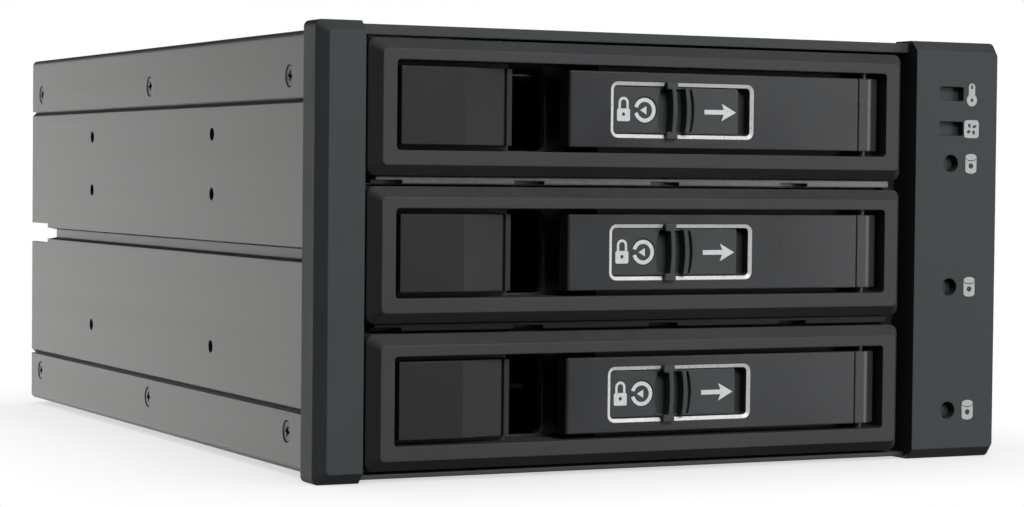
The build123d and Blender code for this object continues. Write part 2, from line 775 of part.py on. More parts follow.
def lever(number):
    """The handle: a hinged bar with a barrel, a latch window and a claw behind."""
    middle = tray_base(number) + opening_up
    high = (middle - lever_high / 2, middle + lever_high / 2)
    bar = block((lever_left, pivot_x), (lever_y, lever_y + lever_thick), high)
    bar = fillet(bar.edges().filter_by(Axis.Z).group_by(Axis.X)[0], bar_round)
    bar += rod((pivot_x, pivot_y, high[0]), (pivot_x, pivot_y, high[1]), barrel_r)
    bar += plan([(x, lever_y + y) for x, y in facet], high)
    bar -= block(groove_x, (lever_y - past, lever_y + groove_cut), (high[0] - past, high[1] + past))
    claw_half = claw_high / 2
    points = [(pivot_x + x, pivot_y + y) for x, y in claw_outline]
    bar += plan(points, (middle - claw_half, middle + claw_half))
    bore = (high[0] - past, high[1] + past)
    bar -= rod((pivot_x, pivot_y, bore[0]), (pivot_x, pivot_y, bore[1]), pin_r + pin_gap)
    x = sum(latch_window_x) / 2
    wide = latch_window_x[1] - latch_window_x[0]
    outer = rounded(x, middle, wide, latch_window_high, rim_round + 0.7)
    inner = rounded(x, middle, wide - 2 * rim, latch_window_high - 2 * rim, rim_round)
    bar -= loft([upright(lever_y) * outer, upright(lever_y + rim_sink) * inner], ruled=True)
    bar -= slab(inner, (lever_y, lever_y + latch_deep))
    behind = lever_y + lever_thick + past
    slot_half = leg_half + leg_gap
    slot_x = (leg_x[0] - leg_gap, leg_x[1] + latch_travel + leg_gap)
    bar -= block(slot_x, (lever_y, behind), (middle - slot_half, middle + slot_half))
    wire_room = wire_half + 0.2
    bar -= block((leg_x[1], leg_x[1] + 12.0), (wire_y[0] - 0.1, behind),
                 (middle - wire_room, middle + wire_room))
    return bar


def bowed(left, right, reach, y, middle):
    """An upright bar with bowed edges, each given by X at its ends and X at its middle."""
    low, high = middle - reach, middle + reach
    with BuildSketch() as section:
        with BuildLine():
            ThreePointArc((left[0], low), (left[1], middle), (left[0], high))
            Line((left[0], high), (right[0], high))
            ThreePointArc((right[0], high), (right[1], middle), (right[0], low))
            Line((right[0], low), (left[0], low))
        make_face()
    return slab(section.sketch, y)


def latch(number):
    """The slide in the lever: a plate with a thumb scoop, two ribs and a seat for the lock."""
    middle = tray_base(number) + opening_up
    half = latch_window_high / 2 - rim - 0.15
    x = sum(latch_x) / 2
    plate = slab(rounded(x, middle, latch_x[1] - latch_x[0], 2 * half, 0.5), plate_y)
    plate -= bowed(*scoop_x, half - 0.4, (plate_y[0] - past, plate_y[0] + scoop_deep), middle)
    root_y = plate_y[1] - 0.4
    plate += bowed(*tall_rib_x, half - 0.2, (lever_y - tall_rib_proud, root_y), middle)
    plate += bowed(*low_rib_x, half - 0.2, (lever_y - low_rib_proud, root_y), middle)
    for side in (-1, 1):
        z = sorted((middle + side * (half - 0.4), middle + side * bridge_reach))
        plate += block(bridge_x, (lever_y - tall_rib_proud, lever_y - 0.3), z)
    seat = (plate_y[0] - past, plate_y[1] + past)
    plate -= rod((lock_x, seat[0], middle), (lock_x, seat[1], middle), lock_r + 0.06)
    return plate


def latch_hook(number):
    """The leg behind the slide, which reaches through the lever and hooks into the tray."""
    middle = tray_base(number) + opening_up
    tip_y = lever_y + lever_thick + hook_reach
    high = (middle - leg_half, middle + leg_half)
    leg = block(leg_x, (plate_y[1], tip_y), high)
    return leg + block((leg_x[0] - hook_wide, leg_x[0] + 0.1), (tip_y - hook_wide, tip_y), high)


def latch_spring(number):
    """A bent wire strip that pushes the slide back to the left."""
    middle = tray_base(number) + opening_up
    start = leg_x[1] + 0.05
    spring = None
    for index in range(wire_turns):
        x = start + index * wire_step
        piece = block((x, x + wire_thick), wire_y, (middle - wire_half, middle + wire_half))
        if index < wire_turns - 1:
            low = middle + wire_half - wire_thick if index % 2 else middle - wire_half
            piece += block((x, x + wire_step + wire_thick), wire_y, (low, low + wire_thick))
        spring = piece if spring is None else spring + piece
    return spring


def lock_rotor(number):
    """The round lock, with a three-sided key recess that points at the padlock mark."""
    middle = tray_base(number) + opening_up
    body = rod((lock_x, plate_y[0] + 0.1, middle), (lock_x, plate_y[1] - 0.05, middle), lock_r)
    key = Pos(lock_x, middle) * Rot(0, 0, 180) * RegularPolygon(key_r, 3)
    return body - slab(key, (plate_y[0] - past, plate_y[0] + 0.7))


def save(name, part):
    solids = part if isinstance(part, list) else [part]
    if len(solids) == 1:
        shape = solids[0]
    else:
        shape = Compound(children=[solid if isinstance(solid, Solid) else solid.solid() for solid in solids])
    export_step(shape, f"parts/{name}.step")


def main():
    os.makedirs("parts", exist_ok=True)
    save("top_cover", top_cover())
    save("bottom_cover", bottom_cover())
    left, right = both_sides(left_side_panel())
    save("left_side_panel", left)
    save("right_side_panel", right)
    save("cover_screws", cover_screws())
    save("front_bezel", front_bezel())
    save("bezel_screws", bezel_screws())
    save("lamp_board", lamp_board())
    save("lamp_chips", lamp_chips())
    save("alarm_windows", alarm_windows())
    save("drive_lenses", drive_lenses())
    save("left_guide_wall", guide_wall(-1))
    save("right_guide_wall", guide_wall(1))
    save("upper_divider", divider(1))
    save("lower_divider", divider(2))
    save("backplane_board", backplane_board())
    save("board_screws", board_screws())
    save("buzzer", buzzer())
    save("power_inlet_1", power_inlet(1))
    save("power_inlet_2", power_inlet(2))
    save("rear_panel", rear_panel())
    save("fan_frame", fan_frame())
    save("fan_bearing", fan_bearing())
    save("fan_shaft", fan_shaft())
    save("fan_rotor", fan_rotor())
    save("fan_screws", fan_screws())
    makers = (drive_socket, data_port, tray_carrier, tray_front, lever, lever_pin, lever_spring,
              latch, latch_hook, latch_spring, lock_rotor)
    for number in range(1, tray_count + 1):
        for maker in makers:
            save(f"{maker.__name__}_{number}", maker(number))


main()
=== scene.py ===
import math

import bmesh
import bpy
from mathutils import Matrix, Vector


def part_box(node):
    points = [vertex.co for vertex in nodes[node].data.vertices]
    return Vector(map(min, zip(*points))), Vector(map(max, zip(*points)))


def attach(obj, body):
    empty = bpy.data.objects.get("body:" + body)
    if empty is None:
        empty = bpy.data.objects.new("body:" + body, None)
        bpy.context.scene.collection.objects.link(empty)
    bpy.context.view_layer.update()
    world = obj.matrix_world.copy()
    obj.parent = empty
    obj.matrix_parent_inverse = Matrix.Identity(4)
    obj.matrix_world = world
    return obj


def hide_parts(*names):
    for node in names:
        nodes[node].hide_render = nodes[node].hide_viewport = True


# Looks of the drive cage. The frame is in metres: X right, Y to the rear, Z up.
# Pieces are drawn in millimetres and turned into metres as they are made.

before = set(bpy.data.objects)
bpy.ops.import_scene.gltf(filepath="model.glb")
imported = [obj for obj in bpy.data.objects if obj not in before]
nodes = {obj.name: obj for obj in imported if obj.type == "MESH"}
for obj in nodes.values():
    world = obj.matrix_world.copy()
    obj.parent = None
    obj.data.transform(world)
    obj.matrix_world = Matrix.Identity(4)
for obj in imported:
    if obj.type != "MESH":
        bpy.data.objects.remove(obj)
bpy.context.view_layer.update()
mm = 0.001
trayNumbers = (1, 2, 3)
print("frame loaded:", len(nodes), "nodes")


# Small helpers for objects, outlines and meshes

def linkObject(name, data):
    thing = bpy.data.objects.new(name, data)
    bpy.context.scene.collection.objects.link(thing)
    return thing


def meshFrom(name, points, faces):
    mesh = bpy.data.meshes.new(name)
    mesh.from_pydata([Vector(p) * mm for p in points], [], faces)
    mesh.update()
    return mesh


def middleOf(node):
    low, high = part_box(node)
    return (low + high) / 2 / mm


def lowOf(node):
    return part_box(node)[0] / mm


def highOf(node):
    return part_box(node)[1] / mm


def ovalLoop(x, z, wide, high, count=32):
    turns = [2 * math.pi * i / count for i in range(count)]
    return [(x + wide / 2 * math.cos(t), z + high / 2 * math.sin(t)) for t in turns]


def circleLoop(x, z, radius, count):
    return ovalLoop(x, z, 2 * radius, 2 * radius, count)


def arcPoints(x, z, radius, start, end, count=12):
    turns = [math.radians(start + (end - start) * i / count) for i in range(count + 1)]
    return [(x + radius * math.cos(t), z + radius * math.sin(t)) for t in turns]


def roundedLoop(x, z, wide, high, radius, count=6):
    a, b = wide / 2 - radius, high / 2 - radius
    corners = ((a, b, 0), (-a, b, 90), (-a, -b, 180), (a, -b, 270))
    loop = []
    for dx, dz, start in corners:
        loop += arcPoints(x + dx, z + dz, radius, start, start + 90, count)
    return loop


def bandLoop(x, z, outer, inner, start, end):
    steps = 28
    return arcPoints(x, z, outer, start, end, steps) + arcPoints(x, z, inner, end, start, steps)


def turned(loop, x, z, angle):
    c, s = math.cos(math.radians(angle)), math.sin(math.radians(angle))
    return [(x + (u - x) * c - (v - z) * s, z + (u - x) * s + (v - z) * c) for u, v in loop]


# A helper's finished shape as a mesh of its own; the helper is removed
def bakedMesh(helper):
    bpy.context.view_layer.update()
    mesh = bpy.data.meshes.new_from_object(helper.evaluated_get(bpy.context.evaluated_depsgraph_get()))
    bpy.data.objects.remove(helper)
    return mesh


# Flat shapes with holes, drawn as seen from the front and given a thickness towards the viewer
def printedMark(name, loops, y, thick):
    curve = bpy.data.curves.new(name, "CURVE")
    curve.dimensions = "2D"
    curve.fill_mode = "BOTH"
    curve.extrude = thick * mm / 2
    for loop in loops:
        spline = curve.splines.new("POLY")
        spline.points.add(len(loop) - 1)
        for point, (u, v) in zip(spline.points, loop):
            point.co = (u * mm, v * mm, 0, 1)
        spline.use_cyclic_u = True
    mesh = bakedMesh(linkObject(name + "Curve", curve))
    bpy.data.curves.remove(curve)
    upright = Matrix.Rotation(math.pi / 2, 4, "X")
    mesh.transform(Matrix.Translation((0, (y - thick / 2) * mm, 0)) @ upright)
    mesh.name = name
    return linkObject(name, mesh)


def joinMeshes(name, pieces):
    joined = bmesh.new()
    for piece in pieces:
        joined.from_mesh(piece.data)
        bpy.data.objects.remove(piece)
    mesh = bpy.data.meshes.new(name)
    joined.to_mesh(mesh)
    joined.free()
    return linkObject(name, mesh)


def finishPiece(piece, body, material):
    piece.data.materials.clear()
    piece.data.materials.append(material)
    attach(piece, body)


# Shared effects, as node groups with named sockets

def newGroup(name, inputs, outputs):
    group = bpy.data.node_groups.new(name, "ShaderNodeTree")
    for label, value in inputs:
        socket = group.interface.new_socket(name=label, in_out="INPUT", socket_type="NodeSocketFloat")
        socket.default_value = value
    for label in outputs:
        kind = "NodeSocketVector" if label == "Normal" else "NodeSocketFloat"
        group.interface.new_socket(name=label, in_out="OUTPUT", socket_type=kind)
    start = group.nodes.new("NodeGroupInput")
    end = group.nodes.new("NodeGroupOutput")
    return group, start, end


# A socket takes either a plain number or the output of another node
def feed(tree, socket, value):
    if isinstance(value, (int, float)):
        socket.default_value = value
    else:
        tree.links.new(value, socket)


def mathNode(tree, operation, first, second, clamp=False):
    node = tree.nodes.new("ShaderNodeMath")
    node.operation = operation
    node.use_clamp = clamp
    feed(tree, node.inputs[0], first)
    feed(tree, node.inputs[1], second)
    return node.outputs[0]


def objectPoint(tree):
    return tree.nodes.new("ShaderNodeTexCoord").outputs["Object"]


def scaledPoint(tree, factors):
    mapping = tree.nodes.new("ShaderNodeMapping")
    mapping.vector_type = "POINT"
    mapping.inputs["Scale"].default_value = factors
    tree.links.new(objectPoint(tree), mapping.inputs["Vector"])
    return mapping.outputs["Vector"]


def noiseNode(tree, vector, scale, detail, roughness=0.5):
    node = tree.nodes.new("ShaderNodeTexNoise")
    node.inputs["Detail"].default_value = detail
    node.inputs["Roughness"].default_value = roughness
    tree.links.new(vector, node.inputs["Vector"])
    feed(tree, node.inputs["Scale"], scale)
    return node.outputs["Fac"]


# One axis of the surface's own direction
def facing(tree, axis):
    geometry = tree.nodes.new("ShaderNodeNewGeometry")
    split = tree.nodes.new("ShaderNodeSeparateXYZ")
    tree.links.new(geometry.outputs["Normal"], split.inputs[0])
    return split.outputs[axis]


# Fine spark-eroded texture of a moulding: a height and a slow change of tone
def makeMouldGrain():
    inputs = [("Scale", 2600), ("Cloud Scale", 40)]
    group, start, end = newGroup("mouldGrain", inputs, ["Height", "Tone"])
    point = objectPoint(group)
    fine = noiseNode(group, point, start.outputs["Scale"], detail=2, roughness=0.6)
    coarse = noiseNode(group, point, start.outputs["Cloud Scale"], detail=3)
    group.links.new(fine, end.inputs["Height"])
    group.links.new(coarse, end.inputs["Tone"])
    return group


# Brushing that runs from front to rear, with long faint streaks
def makeSheetBrush():
    inputs = [("Fine Scale", 900), ("Streak Scale", 130)]
    group, start, end = newGroup("sheetBrush", inputs, ["Height", "Tone"])
    alongSheet = 0.004
    fineShare, streakShare = 0.88, 0.12
    stretched = scaledPoint(group, (1.0, alongSheet, 1.0))
    fine = noiseNode(group, stretched, start.outputs["Fine Scale"], detail=4, roughness=0.65)
    streak = noiseNode(group, stretched, start.outputs["Streak Scale"], detail=3, roughness=0.55)
    mixed = mathNode(group, "ADD", mathNode(group, "MULTIPLY", fine, fineShare),
                     mathNode(group, "MULTIPLY", streak, streakShare))
    group.links.new(fine, end.inputs["Height"])
    group.links.new(mixed, end.inputs["Tone"])
    return group


# Rounded edges, and a mask where they are rubbed lighter: the rounded normal leaves the true one there
def makeEdgeWear():
    inputs = [("Width", 0.0004), ("Amount", 0.5), ("Scale", 700)]
    group, start, end = newGroup("edgeWear", inputs, ["Mask", "Normal"])
    edgeGain, patchGain = 5.0, 1.6
    bevel = group.nodes.new("ShaderNodeBevel")
    bevel.samples = 4
    group.links.new(start.outputs["Width"], bevel.inputs["Radius"])
    group.links.new(bevel.outputs["Normal"], end.inputs["Normal"])
    geometry = group.nodes.new("ShaderNodeNewGeometry")
    dot = group.nodes.new("ShaderNodeVectorMath")
    dot.operation = "DOT_PRODUCT"
    group.links.new(bevel.outputs["Normal"], dot.inputs[0])
    group.links.new(geometry.outputs["Normal"], dot.inputs[1])
    away = mathNode(group, "SUBTRACT", 1.0, dot.outputs["Value"], clamp=True)
    edge = mathNode(group, "MULTIPLY", away, edgeGain, clamp=True)
    patch = noiseNode(group, objectPoint(group), start.outputs["Scale"], detail=3, roughness=0.6)
    patch = mathNode(group, "MULTIPLY", patch, patchGain, clamp=True)
    broken = mathNode(group, "MULTIPLY", edge, patch)
    group.links.new(mathNode(group, "MULTIPLY", broken, start.outputs["Amount"]), end.inputs["Mask"])
    return group


# Painted shade: a mask of faces that look to the front from behind a given depth, such as the plate
# inside a tray's frame, which the frame's walls keep out of the light
def makeRecessShade():
    group, start, end = newGroup("recessShadeMask", [("Depth", 0.0)], ["Mask"])
    nearlyFront = -0.9
    place = group.nodes.new("ShaderNodeSeparateXYZ")
    group.links.new(objectPoint(group), place.inputs[0])
    behind = mathNode(group, "GREATER_THAN", place.outputs["Y"], start.outputs["Depth"])
    front = mathNode(group, "LESS_THAN", facing(group, "Y"), nearlyFront)
    group.links.new(mathNode(group, "MULTIPLY", behind, front), end.inputs["Mask"])
    return group


# Thin dust that settles on faces that look up
def makeDust():
    group, start, end = newGroup("dustVeil", [("Amount", 0.15), ("Scale", 320)], ["Mask"])
    upward = mathNode(group, "MAXIMUM", facing(group, "Z"), 0.0)
    patch = noiseNode(group, objectPoint(group), start.outputs["Scale"], detail=4, roughness=0.6)
    veil = mathNode(group, "MULTIPLY", upward, patch)
    group.links.new(mathNode(group, "MULTIPLY", veil, start.outputs["Amount"]), end.inputs["Mask"])
    return group


groups = {
    "grain": makeMouldGrain(),
    "brush": makeSheetBrush(),
    "wear": makeEdgeWear(),
    "dust": makeDust(),
    "recess": makeRecessShade(),
}
print("shared effects made")


# Materials

def placeGroup(tree, key, **values):
    node = tree.nodes.new("ShaderNodeGroup")
    node.node_tree = groups[key]
    for label, value in values.items():
        node.inputs[label.replace("_", " ")].default_value = value
    return node


def mixColour(tree, factor, first, second):
    node = tree.nodes.new("ShaderNodeMix")
    node.data_type = "RGBA"
    tree.links.new(factor, node.inputs["Factor"])
    for label, value in (("A", first), ("B", second)):
        socket = [s for s in node.inputs if s.name == label and s.type == "RGBA"][0]
        if isinstance(value, (tuple, list)):
            socket.default_value = (*value, 1.0)
        else:
            tree.links.new(value, socket)
    return [s for s in node.outputs if s.type == "RGBA"][0]


def rampBetween(tree, factor, low, high, fromLow=0.3, fromHigh=0.7):
    node = tree.nodes.new("ShaderNodeMapRange")
    node.clamp = True
    node.inputs["From Min"].default_value = fromLow
    node.inputs["From Max"].default_value = fromHigh
    node.inputs["To Min"].default_value = low
    node.inputs["To Max"].default_value = high
    tree.links.new(factor, node.inputs["Value"])
    return node.outputs["Result"]


def bumpFrom(tree, shader, height, distance, strength, rounded=None):
    bump = tree.nodes.new("ShaderNodeBump")
    if rounded:
        tree.links.new(rounded.outputs["Normal"], bump.inputs["Normal"])
    bump.inputs["Strength"].default_value = strength
    bump.inputs["Distance"].default_value = distance * mm
    tree.links.new(height, bump.inputs["Height"])
    tree.links.new(bump.outputs["Normal"], shader.inputs["Normal"])


def startMaterial(name):
    material = bpy.data.materials.new(name)
    material.use_nodes = True
    return material, material.node_tree, material.node_tree.nodes["Principled BSDF"]


def shade(colour, factor):
    return tuple(min(1.0, c * factor) for c in colour)


# A base colour that runs from darker to paler with a tone between 0 and 1
def tonedColour(tree, tone, base, darker, paler):
    return mixColour(tree, tone, shade(base, darker), shade(base, paler))


# A roughness that wanders a little with the tone
def roughnessFrom(tree, shader, tone, rough, below, above, span=(0.3, 0.7)):
    spread = rampBetween(tree, tone, rough - below, rough + above, *span)
    tree.links.new(spread, shader.inputs["Roughness"])


# Paler rubbed edges over a colour; the group's rounded normal goes on to the bump
def wornColour(tree, colour, base, width, amount, paler):
    wear = placeGroup(tree, "wear", Width=width, Amount=amount)
    return wear, mixColour(tree, wear.outputs["Mask"], colour, shade(base, paler))


# A moulded plastic: charcoal with fine texture, rubbed edges, a little dust, and painted shade on front
# faces recessed behind a given depth
def mouldedPlastic(name, look):
    material, tree, shader = startMaterial(name)
    base = look["colour"]
    dustAmount, dustColour = 0.08, (0.4, 0.39, 0.37)
    grain = placeGroup(tree, "grain", Scale=look["grainScale"])
    tone = rampBetween(tree, grain.outputs["Tone"], 0, 1)
    colour = tonedColour(tree, tone, base, darker=0.9, paler=1.1)
    # Painted shade: front faces behind the plate depth are darkened by the plate's shade factor
    if "plateDepth" in look:
        recess = placeGroup(tree, "recess", Depth=look["plateDepth"])
        colour = mixColour(tree, recess.outputs["Mask"], colour, shade(base, look["paintedPlateShade"]))
    rubbed = look.get("wear", 0.35)
    wear, colour = wornColour(tree, colour, base, width=0.00035, amount=rubbed, paler=2.2)
    dust = placeGroup(tree, "dust", Amount=dustAmount)
    colour = mixColour(tree, dust.outputs["Mask"], colour, dustColour)
    tree.links.new(colour, shader.inputs["Base Color"])
    roughnessFrom(tree, shader, grain.outputs["Tone"], look["roughness"], below=0.04, above=0.05)
    shader.inputs["Specular IOR Level"].default_value = look.get("specular", 0.5)
    bumpFrom(tree, shader, grain.outputs["Height"], look["grainDepth"], look["bump"], wear)
    return material


# Anodised or plated sheet with brushing from front to rear
def brushedSheet(name, look):
    material, tree, shader = startMaterial(name)
    base, span = look["colour"], (0.35, 0.65)
    brush = placeGroup(tree, "brush", Fine_Scale=look["fineScale"], Streak_Scale=look["streakScale"])
    tone = rampBetween(tree, brush.outputs["Tone"], 0, 1, *span)
    colour = tonedColour(tree, tone, base, darker=0.9, paler=1.1)
    wear, colour = wornColour(tree, colour, base, width=0.0003, amount=0.5, paler=2.0)
    tree.links.new(colour, shader.inputs["Base Color"])
    shader.inputs["Metallic"].default_value = look["metallic"]
    roughnessFrom(tree, shader, brush.outputs["Tone"], look["roughness"],
                  below=0.02, above=0.02, span=span)
    bumpFrom(tree, shader, brush.outputs["Height"], distance=0.01, strength=0.25, rounded=wear)
    return material


# Bare machined metal, such as pins and screws
def turnedMetal(name, look):
    material, tree, shader = startMaterial(name)
    grain = placeGroup(tree, "grain", Scale=1500, Cloud_Scale=220)
    tone = rampBetween(tree, grain.outputs["Tone"], 0, 1)
    colour = tonedColour(tree, tone, look["colour"], darker=0.82, paler=1.12)
    wear, colour = wornColour(tree, colour, look["colour"], width=0.0002, amount=0.5, paler=1.7)
    tree.links.new(colour, shader.inputs["Base Color"])
    shader.inputs["Metallic"].default_value = look.get("metallic", 1.0)
    roughnessFrom(tree, shader, grain.outputs["Tone"], look["roughness"], below=0.06, above=0.08)
    bumpFrom(tree, shader, grain.outputs["Height"], distance=0.01, strength=0.15, rounded=wear)
    return material


# Solder-masked board with a faint weave and paler copper areas under the mask
def maskedBoard(name, look):
    material, tree, shader = startMaterial(name)
    point = objectPoint(tree)
    cells = tree.nodes.new("ShaderNodeTexVoronoi")
    cells.distance = "MANHATTAN"
    cells.feature = "DISTANCE_TO_EDGE"
    cells.inputs["Scale"].default_value = look["cellScale"]
    tree.links.new(point, cells.inputs["Vector"])
    lines = rampBetween(tree, cells.outputs["Distance"], 1, 0, fromLow=0.02, fromHigh=0.09)
    colour = mixColour(tree, lines, look["colour"], look["copper"])
    weave = noiseNode(tree, point, scale=2400, detail=2)
    threads = rampBetween(tree, weave, low=0, high=0.4)
    colour = mixColour(tree, threads, colour, shade(look["colour"], 0.6))
    tree.links.new(colour, shader.inputs["Base Color"])
    tree.links.new(rampBetween(tree, weave, low=0.3, high=0.42), shader.inputs["Roughness"])
    bumpFrom(tree, shader, lines, distance=0.02, strength=0.3)
    return material


# Smoked lens: dark, glossy, with a faint cloudiness
def smokedLens(name, look):
    material, tree, shader = startMaterial(name)
    cloud = noiseNode(tree, objectPoint(tree), scale=500, detail=2)
    tone = rampBetween(tree, cloud, 0, 1)
    colour = tonedColour(tree, tone, look["colour"], darker=0.85, paler=1.15)
    tree.links.new(colour, shader.inputs["Base Color"])
    roughnessFrom(tree, shader, cloud, look["roughness"], below=0.05, above=0.05)
    shader.inputs["Specular IOR Level"].default_value = look["specular"]
    return material


# Screen-printed paint: slightly uneven cover and a low sheen
def printedPaint(name, look):
    material, tree, shader = startMaterial(name)
    patch = noiseNode(tree, objectPoint(tree), scale=1500, detail=3, roughness=0.6)
    tone = rampBetween(tree, patch, 0, 1)
    colour = tonedColour(tree, tone, look["colour"], darker=0.88, paler=1.05)
    tree.links.new(colour, shader.inputs["Base Color"])
    shader.inputs["Metallic"].default_value = look.get("metallic", 0.0)
    roughnessFrom(tree, shader, patch, look["roughness"], below=0.05, above=0.08)
    bumpFrom(tree, shader, patch, distance=0.01, strength=0.2)
    return material


plateBehind = 0.6  # the plate inside a tray's frame starts this far behind the frame's face

finishes = {
    "sideSheet": (brushedSheet, {"colour": (0.17, 0.166, 0.16), "metallic": 0.55,
                                 "roughness": 0.48, "fineScale": 1500, "streakScale": 260}),
    "rearSheet": (brushedSheet, {"colour": (0.19, 0.186, 0.18), "metallic": 0.75,
                                 "roughness": 0.42, "fineScale": 1500, "streakScale": 260}),
    "zincStrip": (brushedSheet, {"colour": (0.16, 0.16, 0.16), "metallic": 0.8,
                                 "roughness": 0.35, "fineScale": 900, "streakScale": 200}),
    # Painted shade: the same zinc strip made near black for the lower divider, which sits in the shade
    # of the tray above
    "shadedZincStrip": (brushedSheet, {"colour": (0.01, 0.01, 0.01), "metallic": 0.6,
                                  "roughness": 0.4, "fineScale": 900, "streakScale": 200}),
    "bezelPlastic": (mouldedPlastic, {"colour": (0.05, 0.056, 0.06), "roughness": 0.58,
                                      "specular": 0.35,
                                      "grainScale": 2200, "grainDepth": 0.03, "bump": 0.5}),
    "trayPlastic": (mouldedPlastic, {"colour": (0.05, 0.0515, 0.0545), "roughness": 0.52,
                                     "specular": 0.33,
                                     "plateDepth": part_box("tray_front_1")[0].y + plateBehind * mm,
                                     # painted shade: the darker colour stands for the shade inside the
                                     # tray's frame
                                     "paintedPlateShade": 0.35,
                                     "grainScale": 2600, "grainDepth": 0.02, "bump": 0.4}),
    "leverPlastic": (mouldedPlastic, {"colour": (0.038, 0.04, 0.043), "roughness": 0.3, "specular": 0.5,
                                      "grainScale": 3000, "grainDepth": 0.015, "bump": 0.3}),
    "latchPlastic": (mouldedPlastic, {"colour": (0.04, 0.046, 0.048), "roughness": 0.4,
                                      "grainScale": 3000, "grainDepth": 0.012, "bump": 0.3}),
    "lockPlastic": (mouldedPlastic, {"colour": (0.04, 0.044, 0.047), "roughness": 0.38,
                                     "grainScale": 3000, "grainDepth": 0.012, "bump": 0.3}),
    "guidePlastic": (mouldedPlastic, {"colour": (0.03, 0.03, 0.032), "roughness": 0.5,
                                      "grainScale": 2200, "grainDepth": 0.03, "bump": 0.4}),
    "fanPlastic": (mouldedPlastic, {"colour": (0.025, 0.025, 0.027), "roughness": 0.42,
                                    "grainScale": 2000, "grainDepth": 0.02, "bump": 0.3}),
    "connectorPlastic": (mouldedPlastic, {"colour": (0.025, 0.025, 0.027), "roughness": 0.36,
                                          "grainScale": 3000, "grainDepth": 0.01, "bump": 0.3}),
    "inletPlastic": (mouldedPlastic, {"colour": (0.62, 0.6, 0.52), "roughness": 0.45, "wear": 0.0,
                                      "grainScale": 2500, "grainDepth": 0.01, "bump": 0.3}),
    "boardMask": (maskedBoard, {"colour": (0.012, 0.07, 0.035), "copper": (0.03, 0.13, 0.06),
                                "cellScale": 160}),
    "lampChip": (printedPaint, {"colour": (0.75, 0.74, 0.68), "roughness": 0.35}),
    "lensSmoke": (smokedLens, {"colour": (0.036, 0.038, 0.041), "roughness": 0.42, "specular": 0.3}),
    "screwBlack": (turnedMetal, {"colour": (0.085, 0.085, 0.084), "roughness": 0.42, "metallic": 0.8}),
    "screwZinc": (turnedMetal, {"colour": (0.55, 0.55, 0.56), "roughness": 0.32}),
    "pinSteel": (turnedMetal, {"colour": (0.5, 0.5, 0.5), "roughness": 0.28}),
    "springSteel": (turnedMetal, {"colour": (0.42, 0.42, 0.43), "roughness": 0.33}),
    "bearingBrass": (turnedMetal, {"colour": (0.6, 0.42, 0.18), "roughness": 0.35}),
    "contactGold": (turnedMetal, {"colour": (0.75, 0.52, 0.2), "roughness": 0.3}),
    "whitePrint": (printedPaint, {"colour": (0.82, 0.85, 0.86), "roughness": 0.45}),
    "greyPrint": (printedPaint, {"colour": (0.58, 0.6, 0.6), "roughness": 0.5}),
    "rimPaint": (printedPaint, {"colour": (0.96, 0.96, 0.96), "roughness": 0.3, "metallic": 0.1}),
}
materials = {name: maker(name, look) for name, (maker, look) in finishes.items()}

nodeFinish = {
    "top_cover": "sideSheet", "bottom_cover": "sideSheet", "left_side_panel": "sideSheet",
    "right_side_panel": "sideSheet", "rear_panel": "rearSheet", "cover_screws": "screwBlack",
    "bezel_screws": "screwZinc", "board_screws": "screwZinc", "fan_screws": "screwBlack",
    "front_bezel": "bezelPlastic", "lamp_board": "boardMask", "lamp_chips": "lampChip",
    "alarm_windows": "lensSmoke", "drive_lenses": "lensSmoke", "left_guide_wall": "guidePlastic",
    "right_guide_wall": "guidePlastic", "upper_divider": "zincStrip", "lower_divider": "shadedZincStrip",
    "backplane_board": "boardMask", "drive_socket": "connectorPlastic", "data_port": "connectorPlastic",
    "power_inlet": "inletPlastic", "buzzer": "connectorPlastic", "fan_frame": "fanPlastic",
    "fan_rotor": "fanPlastic", "fan_bearing": "bearingBrass", "fan_shaft": "pinSteel",
    "tray_carrier": "guidePlastic", "tray_front": "trayPlastic", "lever": "leverPlastic",
    "lever_pin": "screwBlack", "lever_spring": "springSteel", "latch": "latchPlastic",
    "latch_hook": "latchPlastic", "latch_spring": "springSteel", "lock_rotor": "lockPlastic",
}


# Numbered nodes, such as lever_2, share the finish of their kind
def finishNodes():
    for name, thing in nodes.items():
        key = name if name in nodeFinish else name.rsplit("_", 1)[0]
        thing.data.materials.clear()
        thing.data.materials.append(materials[nodeFinish[key]])


finishNodes()
print("materials placed on", len(nodes), "nodes")


# Painted rim round the latch window of each lever

rim = {
    "x": 1.15,
    "wide": 31.5,
    "high": 10.7,
    "band": 0.75,
    "slope": 0.35,          # how far the inner edge lies behind the outer one
    "radius": 1.5,
    "innerRadius": 0.8,
    "thick": 0.04,
    "inset": 0.06,          # bare edge kept on both sides of the band
    "gapX": (-2.95, -0.55),  # where the tall thumb rib crosses the rim
}


# Corner by corner from the top right, with extra points at the gap on the long sides
def rimLoop(z, wide, high, radius):
    x, (gapLeft, gapRight) = rim["x"], rim["gapX"]
    a, b = wide / 2 - radius, high / 2 - radius
    loop = arcPoints(x + a, z + b, radius, 0, 90, 6)
    loop += [(gapRight, z + high / 2), (gapLeft, z + high / 2)]
    loop += arcPoints(x - a, z + b, radius, 90, 180, 6) + arcPoints(x - a, z - b, radius, 180, 270, 6)
    loop += [(gapLeft, z - high / 2), (gapRight, z - high / 2)]
    return loop + arcPoints(x + a, z - b, radius, 270, 360, 6)


